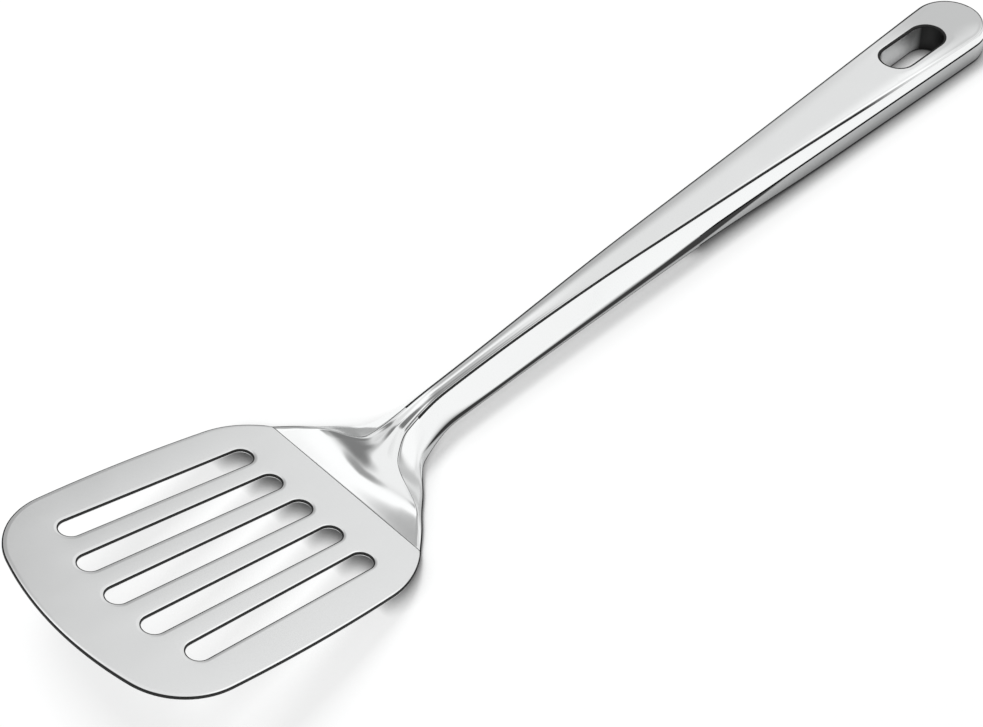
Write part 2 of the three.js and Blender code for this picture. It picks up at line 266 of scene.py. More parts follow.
def inset(corners, depth):
    """The half section moved inwards, square to itself."""
    normals = []
    for a, b in zip(corners, corners[1:]):
        along = (b - a).normalized()
        normals.append(Vector((along.y, -along.x)))
    moved = []
    for i, corner in enumerate(corners):
        a = normals[max(i - 1, 0)]
        b = normals[min(i, len(normals) - 1)]
        moved.append(corner + (a + b) * depth / (1 + a.dot(b)))
    return moved


def rim_profile(thickness, fall):
    """(distance from the edge, height) round a sheet's edge, from its upper to its lower face."""
    shares = [i / RIM_STEPS for i in range(RIM_STEPS + 1)]
    margin = [(RIM_WIDTH - (RIM_WIDTH - EDGE_ROLL) * t, thickness - fall * t * t) for t in shares[:-1]]
    turn = [math.pi / 2 * t for t in shares]
    rolled = [(EDGE_ROLL * (1 - math.sin(a)), EDGE_ROLL * (1 - math.cos(a))) for a in turn]
    upper = [(depth, thickness - fall - height) for depth, height in rolled]
    return [*margin, *upper, (0, thickness * (1 - TORN)), *reversed(rolled), (RIM_WIDTH, 0)]


BLADE_RIM = rim_profile(SHEET, RIM_FALL)
SHELL_RIM = rim_profile(SHELL, 0)
SHEARED = range(RIM_STEPS - 1, 2 * RIM_STEPS + 1)  # the steps of that profile, from the last of the margin over the roll to the torn band, which are painted dark as shade


def section(corners, turns, rim, rise=0, peak=1, flare=0):
    """Ring of a bent sheet: half of its outer face, its edge and its inner face, then the mirrored half."""
    outward = (corners[-1] - corners[-2]).normalized()
    inward = Vector((outward.y, -outward.x))
    spread = math.hypot(1, flare * outward.x)
    thickness = rim[0][1]
    edge = [corners[-1] - outward * depth * spread + inward * (thickness - height) for depth, height in rim]
    outer = crowned(rounded([*corners[:-1], edge[0]], turns), rise, peak)
    inner = crowned(rounded([*inset(corners, thickness)[:-1], edge[-1]], turns), rise, peak)
    half = outer[:-1] + edge + inner[-2::-1]
    return half + [Vector((-p.x, p.y)) for p in half[-2:0:-1]]


# the steps of a section where the buffed back and flank meet, on which a dark line is painted: a painted
# reflection of shade
RIDGE = range(len(FLATS) + 1 + TURN_STEPS // 4, len(FLATS) + 1 + 3 * TURN_STEPS // 4)
# the steps of the handle's lower section where wall and floor meet, on which a dark line of contact shade
# is painted
FOOT = range(len(FLATS) + 1 + TURN_STEPS // 2, len(FLATS) + 2 + TURN_STEPS)


def both_sides(steps, count):
    """The steps of a ring of so many points that lie at those steps of its two halves."""
    return {i for step in steps for i in (step, count - step - 1)}


def outer_count(turns):
    """How many points of a section's ring lie between the middle of its outer face and its edge."""
    return 1 + turns * (len(FLATS) + TURN_STEPS + 1) + len(FLATS)


# Meshes


def strip(bm, first, second, closed, material=0):
    """Faces between two rows of vertices."""
    count = len(first)
    faces = []
    for i in range(count if closed else count - 1):
        j = (i + 1) % count
        faces.append(bm.faces.new((first[i], first[j], second[j], second[i])))
        faces[-1].material_index = material
    return faces


def edges_round(bm, loop):
    """The edges of a closed loop of vertices, made where they are missing."""
    return [bm.edges.get(pair) or bm.edges.new(pair) for pair in zip(loop, [*loop[1:], loop[0]])]


def finished(bm, name, materials, node):
    """The mesh as a piece of the spatula, in place of a node of the frame."""
    bmesh.ops.remove_doubles(bm, verts=bm.verts, dist=0.003 * MM)
    bmesh.ops.delete(bm, geom=[v for v in bm.verts if not v.link_faces], context="VERTS")
    bmesh.ops.recalc_face_normals(bm, faces=bm.faces)
    for edge in bm.edges:
        edge.smooth = not edge.is_manifold or edge.calc_face_angle() < SHARP
    mesh = bpy.data.meshes.new(name)
    bm.to_mesh(mesh)
    bm.free()
    for material in materials:
        mesh.materials.append(material)
    mesh.shade_smooth()
    piece = bpy.data.objects.new(name, mesh)
    bpy.context.scene.collection.objects.link(piece)
    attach(piece, "root")
    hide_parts(node)
    return piece


# Blade and neck


def arc(centre, radius, start, end, steps):
    """Points round a centre, from one angle to another."""
    angles = [start + (end - start) * i / steps for i in range(steps + 1)]
    return [Vector((centre[0] + radius * math.cos(a), centre[1] + radius * math.sin(a))) for a in angles]


def blade_side():
    """Half of the blade's outline as (u, y) points, from the start of the bend to the front's middle."""
    flare = (BLADE_FRONT_WIDTH - BLADE_REAR_WIDTH) / 2 / (BLADE_LENGTH - CORNER_RADIUS)
    places = (REAR_CORNER, BLADE_LENGTH - CORNER_RADIUS)
    ends = [Vector((u, BLADE_REAR_WIDTH / 2 + u * flare)) for u in places]

    # the side is an arc through its ends
    chord = ends[1] - ends[0]
    radius = (chord.length_squared / 4 + SIDE_BOW ** 2) / (2 * SIDE_BOW)
    outward = Vector((-chord.y, chord.x)).normalized()
    side = (ends[0] + ends[1]) / 2 - outward * (radius - SIDE_BOW)
    begin = math.atan2(ends[0].y - side.y, ends[0].x - side.x)

    # the corner touches that arc and the bow of the front
    front = Vector((BLADE_LENGTH - FRONT_RADIUS, 0))
    reach, to_front = radius - CORNER_RADIUS, FRONT_RADIUS - CORNER_RADIUS
    apart = side - front
    along = (to_front ** 2 - reach ** 2 + apart.length_squared) / (2 * apart.length)
    across = math.sqrt(to_front ** 2 - along ** 2)
    way = apart.normalized()
    corner = front + way * along + Vector((-way.y, way.x)) * across
    touch = math.atan2(corner.y - side.y, corner.x - side.x)
    turn = math.atan2(corner.y, corner.x - front.x)

    # the rear corner sweeps in to the end of the crease
    start = Vector((0, CREASE_WIDTH / 2))
    tangent = Vector((math.sin(begin), -math.cos(begin)))
    pulled = ends[0] - tangent * REAR_CORNER * (1 - REAR_CORNER_PULL)
    shares = [i / REAR_STEPS for i in range(REAR_STEPS + 1)]
    rear = [start * (1 - t) ** 2 + pulled * 2 * t * (1 - t) + ends[0] * t * t for t in shares]
    flank = arc(side, radius, begin, touch, SIDE_STEPS)[1:]
    corner_arc = arc(corner, CORNER_RADIUS, touch, turn, CORNER_STEPS)[1:]
    bow = arc(front, FRONT_RADIUS, turn, 0, FRONT_STEPS)[1:]
    points = [*rear, *flank, *corner_arc, *bow]
    first = sum(p.x <= BEND_START for p in points)
    before, after = points[first - 1], points[first]
    cut = before.lerp(after, (BEND_START - before.x) / (after.x - before.x))
    return [cut, *points[first:]]


def slot_loop(k):
    """Outline of the slot k places from the middle, as (u, y) points."""
    radius = SLOT_WIDTH / 2
    turn = SLOT_FAN * k
    heading = Vector((math.cos(turn), math.sin(turn)))
    rear = Vector((SLOT_REAR_MARGIN + radius, k * SLOT_PITCH))
    from_bow = rear - Vector((BLADE_LENGTH - FRONT_RADIUS, 0))
    reach = FRONT_RADIUS - SLOT_FRONT_MARGIN - radius
    along = from_bow.dot(heading)
    front = rear + heading * (-along + math.sqrt(along ** 2 - from_bow.length_squared + reach ** 2))
    front_end = arc(front, radius, turn - math.pi / 2, turn + math.pi / 2, SLOT_END_STEPS)
    rear_end = arc(rear, radius, turn + math.pi / 2, turn + 3 * math.pi / 2, SLOT_END_STEPS)
    shares = [i / SLOT_SIDE_STEPS for i in range(1, SLOT_SIDE_STEPS)]
    left = [front_end[-1].lerp(rear_end[0], t) for t in shares]
    right = [rear_end[-1].lerp(front_end[0], t) for t in shares]
    return [*front_end, *left, *rear_end, *right]


def left_normals(points, closed):
    """Unit normals to the left of a path."""
    last = len(points) - 1
    normals = []
    for i in range(len(points)):
        before = points[i - 1] if closed or i > 0 else points[0]
        after = points[(i + 1) % len(points)] if closed or i < last else points[last]
        along = (after - before).normalized()
        normals.append(Vector((-along.y, along.x)))
    return normals


def rim_rows(bm, points, normals):
    """Rows of vertices round a cut edge of the blade."""
    rows = []
    for depth, height in BLADE_RIM:
        rows.append([bm.verts.new(on_blade(*(p + n * depth), height)) for p, n in zip(points, normals)])
    return rows


def rim_material(step):
    """Number of the material at a step of the rim: the margin above the sheared wall is buffed, and the
    sheared steps are painted dark as shade.
    """
    return 2 if step < SHEARED.start else int(step in SHEARED)


def flat_corners(half_width):
    """Corners of a section across the flat sheet."""
    across = (0, half_width - BACK_INSET, half_width - KNEE_INSET, half_width)
    return [Vector((y, SHEET)) for y in across]


def neck_section(x):
    """Ring of the neck's sheet at x."""
    drop = back_drop(x)
    back = Vector((back_width(x) / 2, back_height(x) - drop))
    knee = Vector((knee_width(x) / 2, knee_height(x)))
    edge = Vector((edge_width(x) / 2, edge_height(x)))
    flare = (edge_width(x + PROBE) - edge_width(x - PROBE)) / (4 * PROBE)
    turns = (back_turn(x), knee_turn(x))
    rise = drop + CROWN * back.x * smooth(FOLD_X, WAIST_X, x)
    peak = 2 - smooth(BROW_X, WAIST_X, x)
    return section([Vector((0, back.y)), back, knee, edge], turns, BLADE_RIM, rise, peak, flare)


def blade_and_neck(materials):
    """The pressing: blade with its slots, crease, apron and shoulders, and the channel of the neck."""
    bm = bmesh.new()

    # rings from the end of the blade's flat, round the crease and along the neck
    side = blade_side()
    flare = (CREASE_WIDTH / 2 - side[0].y) / BEND_START
    rings = []
    for share in BEND_SHARES:
        corners = flat_corners(CREASE_WIDTH / 2 - flare * BEND_START * share)
        ring = section(corners, (0.3, 0.3), BLADE_RIM, flare=flare)
        tilt = BLADE_TILT * smooth(-0.25, 0.7, share)
        rings.append([bm.verts.new(on_blade(BEND_START * share, *p, tilt)) for p in ring])
    bend_rings = len(rings)
    x = NECK_START
    while x < WELD_X:
        rings.append([bm.verts.new(placed(x, *p)) for p in neck_section(x)])
        x += CREASE_STEP if x < CREASE_END else FOLD_STEP if x < FOLD_END else RING_STEP
    rings.append([bm.verts.new(placed(WELD_X, *p)) for p in neck_section(WELD_X)])
    start = outer_count(2)
    count = len(rings[0])
    dark = both_sides(range(start + SHEARED.start, start + SHEARED.stop), count)
    ridge = both_sides(RIDGE[1:], count) | set(RIDGE[:1])
    fine_ridge = both_sides(RIDGE[2:3], count)
    apron, brow = placed(APRON_X, 0, 0).x, placed(RIDGE_X, 0, 0).x
    # the strip at the crease itself, the cut edges and the ridge lines of the neck get the dark edge steel:
    # painted shade
    for row, (first, second) in enumerate(zip(rings, rings[1:])):
        finish_or_shade = 0 if row < bend_rings - 1 else 1 if row == bend_rings - 1 else 2
        at = first[0].co.x
        painted_line = set() if at < apron else fine_ridge if at < brow else ridge
        for i, face in enumerate(strip(bm, first, second, True)):
            face.material_index = 1 if i in dark or i in painted_line else finish_or_shade
    bm.faces.new(rings[-1])

    # sheared edges round the blade and through its slots
    outline = side + [Vector((p.x, -p.y)) for p in reversed(side[:-1])]
    inward = [-n for n in left_normals(outline, False)]
    rows = rim_rows(bm, outline[1:-1], inward[1:-1])
    seam = rings[0]
    rows = [[seam[start + i], *row, seam[-start - i]] for i, row in enumerate(rows)]
    for step, (first, second) in enumerate(zip(rows, rows[1:])):
        strip(bm, first, second, False, rim_material(step))
    under = start + len(BLADE_RIM) - 1
    upper_line = [*seam[1 - start:], *seam[:start]]
    lower_line = [*seam[under + 1:len(seam) - under]]
    upper = [[*rows[0], *upper_line]]
    lower = [[*rows[-1], *reversed(lower_line)]]
    for i in range(SLOT_COUNT):
        loop = slot_loop(i - (SLOT_COUNT - 1) // 2)
        rows = rim_rows(bm, loop, [-n for n in left_normals(loop, True)])
        for step, (first, second) in enumerate(zip(rows, rows[1:])):
            strip(bm, first, second, True, rim_material(step))
        upper.append(rows[0])
        lower.append(rows[-1])
    for loops in (upper, lower):
        edges = [edge for loop in loops for edge in edges_round(bm, loop)]
        bmesh.ops.triangle_fill(bm, use_beauty=True, edges=edges)
    return finished(bm, "blade_and_neck", materials, "slotted_blade")


# Handle


def seam_gap(x):
    """Half of the groove between the shells."""
    return SEAM / 2 * smooth(WELD_X, WELD_X + SEAM_START, x)


def top_section(x):
    """Ring of the top shell at x: back and flanks."""
    back = Vector((back_width(x) / 2, back_height(x)))
    knee = Vector((knee_width(x) / 2, knee_height(x) + seam_gap(x)))
    return section([Vector((0, back.y)), back, knee], (back_turn(x),), SHELL_RIM, CROWN * back.x)


def bottom_section(x):
    """Ring of the bottom shell at x: floor and walls, upside down."""
    edge = Vector((edge_width(x) / 2, -edge_height(x)))
    knee = Vector((knee_width(x) / 2, seam_gap(x) - knee_height(x)))
    ring = section([Vector((0, edge.y)), edge, knee], (FLOOR_TURN,), SHELL_RIM)
    return [Vector((p.x, -p.y)) for p in ring]


def back_at(x, y):
    """Height of the handle's crowned back."""
    half = back_width(x) / 2 - back_turn(x)
    return back_height(x) + CROWN * back_width(x) / 2 * max(0, 1 - (y / half) ** 2)


def floor_at(x, y):
    """Height of the handle's floor."""
    return edge_height(x)


def handle_places():
    """Places of the handle's rings before its round end, and the numbers of the rows round the slot."""
    steps = math.ceil((HANG_X - PATCH_REACH - WELD_X) / RING_STEP)
    start = HANG_X - PATCH_REACH
    places = [WELD_X + (start - WELD_X) * i / steps for i in range(steps)]
    places += [start + 2 * PATCH_REACH * i / (PATCH_ROWS - 1) for i in range(PATCH_ROWS)]
    return [*places, TIP_X], steps, steps + PATCH_ROWS - 1


def spoke(x, y):
    """Foot on the slot's middle line and direction from there to a point."""
    reach = (HANG_LENGTH - HANG_WIDTH) / 2
    foot = Vector((min(max(x, HANG_X - reach), HANG_X + reach), 0))
    return foot, (Vector((x, y)) - foot).normalized()


def handle_shell(bm, ring_at, height_at, depth, line, lift):
    """Loft of one shell, swung round at its end, with its face drawn in round the hanging slot."""
    places, first_row, last_row = handle_places()
    sections = [ring_at(x) for x in places]
    rings = [[bm.verts.new(placed(x, *p)) for p in ring] for x, ring in zip(places, sections)]
    for i in range(1, TIP_STEPS + 1):
        angle = math.pi / 2 * i / TIP_STEPS
        ring = []
        for p in sections[-1]:
            height = p.y + lift * max(0, knee_height(TIP_X) - p.y) * math.sin(angle) ** TIP_CURVE
            x = TIP_X + abs(p.x) * math.sin(angle)
            ring.append(bm.verts.new(placed(x, p.x * math.cos(angle), height)))
        rings.append(ring)
    bm.faces.new(rings[0])
    count = len(sections[0])
    start = outer_count(1)
    # the shells' cut edges are painted dark as shade, and the line steps get a painted dark line: a
    # reflection of shade along the back's ridge, contact shade along the floor's foot
    dark = both_sides(range(start + RIM_STEPS, start + len(SHELL_RIM) - 2), count)
    painted_line = both_sides(line[1:], count) | set(line[:1])
    reach = len(FLATS) + 1
    middles = (0, count // 2)
    open_cells = set()
    for middle in middles:
        open_cells.update(range(middle - reach, middle + reach))
    for row, (first, second) in enumerate(zip(rings, rings[1:])):
        for i in range(count):
            if first_row <= row < last_row and (i in open_cells or i - count in open_cells):
                continue
            j = (i + 1) % count
            face = bm.faces.new((first[i], first[j], second[j], second[i]))
            face.material_index = 1 if i in dark else 2 if i in painted_line else 0
    holes = []
    for middle, below in zip(middles, (0, depth)):
        columns = [(middle + k) % count for k in range(-reach, reach + 1)]
        if middle:
            columns.reverse()
        cells = [(first_row, j) for j in columns]
        cells += [(row, columns[-1]) for row in range(first_row + 1, last_row)]
        cells += [(last_row, j) for j in reversed(columns)]
        cells += [(row, columns[0]) for row in range(last_row - 1, first_row, -1)]
        outline = [rings[row][j] for row, j in cells]
        points = [Vector((places[row], sections[row][j].x)) for row, j in cells]
        if not holes:
            spokes = [spoke(*p) for p in points]
        for share in PATCH_SHARES:
            sunk = math.copysign(LIP_SINK * max(0, 1 - share / SINK_SHARE) ** 2, depth)
            inner = []
            for point, (foot, way) in zip(points, spokes):
                p = (foot + way * (HANG_WIDTH / 2 + LIP_WIDTH)).lerp(point, share)
                inner.append(bm.verts.new(placed(*p, height_at(*p) + below + sunk)))
            strip(bm, outline, inner, True)
            outline = inner
        holes.append(outline)
    strip(bm, holes[0], holes[1], True)
    return spokes


def handle_top(materials):
    """The shell of the back and flanks. Gives the spokes on which the slot's liner is built."""
    bm = bmesh.new()
    spokes = handle_shell(bm, top_section, back_at, -SHELL, RIDGE, 0)
    finished(bm, "handle_back", materials, "handle_top_shell")
    return spokes


def handle_bottom(materials):
    """The shell under the handle, with the wall that closes its front inside the neck."""
    bm = bmesh.new()
    # the foot line along the floor gets the dark edge steel: painted contact shade
    handle_shell(bm, bottom_section, floor_at, SHELL, FOOT, TIP_LIFT)
    x = WELD_X
    corners = [
        Vector((0, back_height(x))),
        Vector((back_width(x) / 2, back_height(x))),
        Vector((knee_width(x) / 2, knee_height(x))),
        Vector((edge_width(x) / 2, edge_height(x))),
    ]
    half = inset(corners, SHELL)
    around = half + [Vector((-p.x, p.y)) for p in half[:0:-1]]
    ends = [[bm.verts.new(placed(at, *p)) for p in around] for at in (x, x + SHELL)]
    strip(bm, *ends, True)
    for end in ends:
        bm.faces.new(end)
    return finished(bm, "handle_underside", materials, "handle_bottom_shell")


def slot_liner(spokes, materials):
    """Drawn tube through the handle, its lips rolled out and ground flush with back and floor."""
    bm = bmesh.new()
    turn = [math.pi / 2 * i / LIP_STEPS for i in range(LIP_STEPS + 1)]
    lip = [(LIP_WIDTH, LIP_DEPTH), (LIP_WIDTH, 0)]
    lip += [(LIP_TURN * (1 - math.sin(a)), LIP_TURN * (1 - math.cos(a))) for a in turn]
    rows = []
    for foot, way in spokes:
        row = []
        for height_at, side, profile in ((back_at, -1, lip), (floor_at, 1, reversed(lip))):
            for out, depth in profile:
                p = foot + way * (HANG_WIDTH / 2 + out)
                row.append(bm.verts.new(placed(*p, height_at(*p) + side * (depth + LIP_SINK))))
        rows.append(row)
    bore = len(lip) - 1
    for first, second in zip(rows, [*rows[1:], rows[0]]):
        for i, face in enumerate(strip(bm, first, second, True)):
            # the lip round the slot gets the dark edge steel, painted as shade round the opening; the bore
            # gets the tube's steel
            face.material_index = 1 if i == bore else 2 if 0 < abs(i - bore) < bore else 0
    return finished(bm, "hang_slot_rim", materials, "hang_slot_liner")


# Materials


def linear(colour):
    """An sRGB hex colour as linear red, green, blue and alpha."""
    parts = [int(colour[i:i + 2], 16) / 255 for i in (1, 3, 5)]
    return [p / 12.92 if p <= 0.04045 else ((p + 0.055) / 1.055) ** 2.4 for p in parts] + [1]


def add(tree, kind, settings=None, **inputs):
    """One node of a tree, with its settings and the values or links of its inputs."""
    made = tree.nodes.new("ShaderNode" + kind)
    for name, value in (settings or {}).items():
        setattr(made, name, value)
    for name, value in inputs.items():
        key = int(name[2:]) if name.startswith("in") and name[2:].isdigit() else name.replace("_", " ")
        if isinstance(value, bpy.types.NodeSocket):
            tree.links.new(value, made.inputs[key])
        else:
            made.inputs[key].default_value = value
    return made


def surface(name):
    """A new material and its tree, cleared."""
    material = bpy.data.materials.new(name)
    material.use_nodes = True
    material.node_tree.nodes.clear()
    return material, material.node_tree


def satin_pressed_stainless():
    """Stainless sheet, cold rolled and tumbled after pressing."""
    # a satin sheen: reflections stay whole but soft, with a faint grain along the sheet
    material, tree = surface("stainless_sheet_cold_rolled_satin")
    place = add(tree, "TexCoord")
    # rolling grain is about 0.05 mm wide and 1 mm long, drawn eight times as coarse so that it shows
    grain_size = add(
        tree,
        "Mapping",
        Vector=place.outputs["Object"],
        Scale=(120, 1 / (SHOWN_WIDTH * MM), 1 / (SHOWN_WIDTH * MM)),
    )
    grain = add(tree, "TexNoise", Vector=grain_size.outputs[0], Scale=1, Detail=3)
    # tumbling leaves patches of about 12 mm that are a little duller
    patches = add(tree, "TexNoise", Vector=place.outputs["Object"], Scale=1 / (12 * MM), Detail=2)
    both = add(tree, "Math", {"operation": "ADD"}, in0=grain.outputs[0], in1=patches.outputs[0])
    dullness = add(
        tree,
        "MapRange",
        Value=both.outputs[0],
        From_Min=0.7,
        From_Max=1.3,
        To_Min=0.2,
        To_Max=0.27,
    )
    tone = add(
        tree,
        "MixRGB",
        Fac=patches.outputs[0],
        Color1=linear("#F5F6F6"),
        Color2=linear("#F9FAFA"),
    )
    relief = add(tree, "Bump", Height=grain.outputs[0], Strength=0.02, Distance=0.02 * MM)
    steel = add(
        tree,
        "BsdfPrincipled",
        Base_Color=tone.outputs[0],
        Metallic=1.0,
        Roughness=dullness.outputs[0],
        Normal=relief.outputs[0],
    )
    add(tree, "OutputMaterial", Surface=steel.outputs[0])
    return material


def sheared_edge_painted_dark():
    """Stainless sheet where it was sheared and punched through, its colour painted dark as shade."""
    # burnished streaks across a rough torn band, its colour painted dark as shade so that it reads as a
    # dark line; the same dark steel is painted on the crease, the ridge and foot lines and the slot's lip
    material, tree = surface("stainless_sheared_edge_painted_shade")
    place = add(tree, "TexCoord")
    # shear streaks are about 0.1 mm wide, drawn three times as coarse so that they show
    streaks = add(tree, "TexNoise", Vector=place.outputs["Object"], Scale=1 / (0.3 * MM), Detail=2)
    tone = add(
        tree,
        "MixRGB",
        Fac=streaks.outputs[0],
        Color1=linear("#262626"),
        Color2=linear("#444444"),
    )
    dullness = add(tree, "MapRange", Value=streaks.outputs[0], To_Min=0.4, To_Max=0.6)
    steel = add(
        tree,
        "BsdfPrincipled",
        Base_Color=tone.outputs[0],
        Metallic=1.0,
        Roughness=dullness.outputs[0],
    )
    add(tree, "OutputMaterial", Surface=steel.outputs[0])
    return material


def ridge_painted_dark_line():
    """Stainless ridge beside the buffed back, painted as a dark line that stands in for a reflection of
    shade.
    """
    # a fine painted dark line along the handle, fading out on the near side towards the hanging slot
    material, tree = surface("stainless_ridge_painted_dark_line")
    place = add(tree, "TexCoord")
    # the painted line is mottled at about 0.1 mm, drawn three times as coarse so that it shows
    mottle = add(tree, "TexNoise", Vector=place.outputs["Object"], Scale=1 / (0.3 * MM), Detail=2)
    # the colour of the painted dark line
    ridge_line_shade = add(tree, "MixRGB", Fac=mottle.outputs[0], Color1=linear("#262626"), Color2=linear("#444444"))
    s_curve = {"interpolation_type": "SMOOTHSTEP"}
    along = add(tree, "SeparateXYZ", Vector=place.outputs["Object"]).outputs["X"]
    start, end = placed(LINE_FADE_FROM, 0, 0).x, placed(LINE_FADE_TO, 0, 0).x
    line_fade = add(tree, "MapRange", s_curve, Value=along, From_Min=start, From_Max=end)
    across = add(tree, "SeparateXYZ", Vector=place.outputs["Normal"]).outputs["Y"]
    near_side = add(tree, "MapRange", s_curve, Value=across, From_Min=-0.1, From_Max=-0.35)
    line_gone = add(tree, "Math", {"operation": "MULTIPLY"}, in0=line_fade.outputs[0], in1=near_side.outputs[0])
    tone = add(tree, "MixRGB", Fac=line_gone.outputs[0], Color1=ridge_line_shade.outputs[0], Color2=linear("#F4F5F5"))
    dullness = add(tree, "Mix", in0=line_gone.outputs[0], in2=0.5, in3=0.08)
    steel = add(
        tree,
        "BsdfPrincipled",
        Base_Color=tone.outputs[0],
        Metallic=1.0,
        Roughness=dullness.outputs[0],
    )
    add(tree, "OutputMaterial", Surface=steel.outputs[0])
    return material


def buffed_stainless_painted_shade():
    """Stainless, pressed or drawn, then ground and buffed on a wheel."""
    # nearly a mirror where the wheel reaches, with the faintest haze of lines along the handle; where the
    # steel turns down to its sides it is left rougher, and shade is painted into its colour there
    material, tree = surface("stainless_buffed_painted_shade")
    place = add(tree, "TexCoord")
    # buffing lines are about 0.02 mm wide, drawn twenty times as coarse so that they show
    lines_size = add(
        tree,
        "Mapping",
        Vector=place.outputs["Object"],
        Scale=(60, 1 / (SHOWN_WIDTH * MM), 1 / (SHOWN_WIDTH * MM)),
    )
    lines = add(tree, "TexNoise", Vector=lines_size.outputs[0], Scale=1, Detail=3)
    # handling leaves a haze in patches of about 20 mm
    haze = add(tree, "TexNoise", Vector=place.outputs["Object"], Scale=1 / (20 * MM), Detail=2)
    both = add(tree, "Math", {"operation": "ADD"}, in0=lines.outputs[0], in1=haze.outputs[0])
    gloss = add(
        tree,
        "MapRange",
        Value=both.outputs[0],
        From_Min=0.7,
        From_Max=1.3,
        To_Min=0.06,
        To_Max=0.1,
    )
    bright = add(tree, "MixRGB", Fac=haze.outputs[0], Color1=linear("#F2F3F3"), Color2=linear("#F6F7F7"))
    normal = add(tree, "SeparateXYZ", Vector=place.outputs["Normal"])
    facing = normal.outputs["Z"]
    spot = add(tree, "SeparateXYZ", Vector=place.outputs["Object"])
    along = spot.outputs["X"]
    s_curve = {"interpolation_type": "SMOOTHSTEP"}
    # the shoulders behind the blade are out of the wheel's reach and stay satin; by the way they face they
    # are also painted darker, as shade
    sideways = add(tree, "Math", {"operation": "ABSOLUTE"}, in0=normal.outputs["Y"])
    turned = add(tree, "MapRange", s_curve, Value=sideways.outputs[0], From_Min=0.15, From_Max=0.28)
    fold, neck = placed(FOLD_X, 0, 0).x, placed(SHOULDER_END_X, 0, 0).x
    forward = add(tree, "MapRange", s_curve, Value=along, From_Min=neck, From_Max=fold)
    gentle = add(tree, "MapRange", s_curve, Value=sideways.outputs[0], From_Min=0.5, From_Max=0.38)
    band = add(tree, "Math", {"operation": "MULTIPLY"}, in0=turned.outputs[0], in1=gentle.outputs[0])
    satin_shaded_shoulder = add(tree, "Math", {"operation": "MULTIPLY"}, in0=band.outputs[0], in1=forward.outputs[0])
    top = add(
        tree,
        "MixRGB",
        Fac=satin_shaded_shoulder.outputs[0],
        Color1=bright.outputs[0],
        Color2=linear("#D2D3D3"),
    )
    shine = add(tree, "Mix", in0=satin_shaded_shoulder.outputs[0], in2=gloss.outputs[0], in3=0.2)
    # towards the hanging slot the upward faces of the back are painted a little greyer, as shade
    held, end = placed(GREY_FROM, 0, 0).x, placed(GREY_TO, 0, 0).x
    endward = add(tree, "MapRange", s_curve, Value=along, From_Min=held, From_Max=end)
    flat = add(tree, "MapRange", s_curve, Value=facing, From_Min=0.8, From_Max=0.95)
    painted_grey_back = add(tree, "Math", {"operation": "MULTIPLY"}, in0=endward.outputs[0], in1=flat.outputs[0])
    top = add(tree, "MixRGB", Fac=painted_grey_back.outputs[0], Color1=top.outputs[0], Color2=linear("#D4D5D5"))
    # where the steel turns to the sides it is left rougher, and shade is painted there: a dark band, and
    # under it a grey wall
    slim, brow = placed(SLIM_X, 0, 0).x, placed(RIDGE_X, 0, 0).x
    lean = add(
        tree,
        "MapRange",
        s_curve,
        Value=along,
        From_Min=slim,
        From_Max=brow,
        To_Min=0,
        To_Max=0.3,
    )
    upright = add(tree, "Math", {"operation": "SUBTRACT"}, in0=facing, in1=lean.outputs[0])
    buffed_and_lit = add(tree, "MapRange", s_curve, Value=upright.outputs[0], From_Min=0.06, From_Max=0.38)
    # the painted dark band rises past the weld and runs out in the seam of the handle
    weld = placed(WELD_X, 0, 0).x
    line = add(
        tree,
        "MapRange",
        Value=along,
        From_Min=weld,
        From_Max=weld + BAND_RUN * MM,
        To_Min=BAND_START * MM,
        To_Max=BAND_END * MM,
    )
    under = add(tree, "Math", {"operation": "SUBTRACT"}, in0=line.outputs[0], in1=spot.outputs["Z"])
    soft = BAND_SOFT * MM
    below = add(tree, "MapRange", s_curve, Value=under.outputs[0], From_Min=-soft, From_Max=soft)
    skin_and_painted_shade = add(tree, "MixRGB", Fac=below.outputs[0], Color1=linear("#2A2A2A"), Color2=linear("#C2C3C3"))
    tone = add(tree, "MixRGB", Fac=buffed_and_lit.outputs[0], Color1=skin_and_painted_shade.outputs[0], Color2=top.outputs[0])
    dullness = add(tree, "Mix", in0=buffed_and_lit.outputs[0], in2=0.3, in3=shine.outputs[0])
    steel = add(
        tree,
        "BsdfPrincipled",
        Base_Color=tone.outputs[0],
        Metallic=1.0,
        Roughness=dullness.outputs[0],
    )
    add(tree, "OutputMaterial", Surface=steel.outputs[0])
    return material


def drawn_tube_painted_shade():
    """Stainless tube left as it came from the drawing die."""
    # a dull grey skin with soft streaks along the draw: it reflects only broad light and shade
    material, tree = surface("stainless_tube_as_drawn_painted_ends")
    place = add(tree, "TexCoord")
    # draw streaks are about 0.1 mm wide and 5 mm long, drawn four times as coarse so that they show
    streak_size = add(
        tree,
        "Mapping",
        Vector=place.outputs["Object"],
        Scale=(200, 1 / (SHOWN_WIDTH * MM), 1 / (SHOWN_WIDTH * MM)),
    )
    streaks = add(tree, "TexNoise", Vector=streak_size.outputs[0], Scale=1, Detail=3)
    skin_and_painted_shade = add(
        tree,
        "MixRGB",
        Fac=streaks.outputs[0],
        Color1=linear("#E0E1E1"),
        Color2=linear("#EAEBEB"),
    )
    # the round ends of the bore are painted dark, as shade
    normal = add(tree, "SeparateXYZ", Vector=place.outputs["Normal"])
    endways = add(tree, "Math", {"operation": "ABSOLUTE"}, in0=normal.outputs["X"])
    painted_end_shade = add(tree, "MapRange", Value=endways.outputs[0], From_Min=0.1, From_Max=0.6)
    tone = add(tree, "MixRGB", Fac=painted_end_shade.outputs[0], Color1=skin_and_painted_shade.outputs[0], Color2=linear("#3A3A3A"))
    dullness = add(
        tree,
        "MapRange",
        Value=streaks.outputs[0],
        From_Min=0.3,
        From_Max=0.7,
        To_Min=0.4,
        To_Max=0.5,
    )
    steel = add(
        tree,
        "BsdfPrincipled",
        Base_Color=tone.outputs[0],
        Metallic=1.0,
        Roughness=dullness.outputs[0],
    )
    add(tree, "OutputMaterial", Surface=steel.outputs[0])
    return material


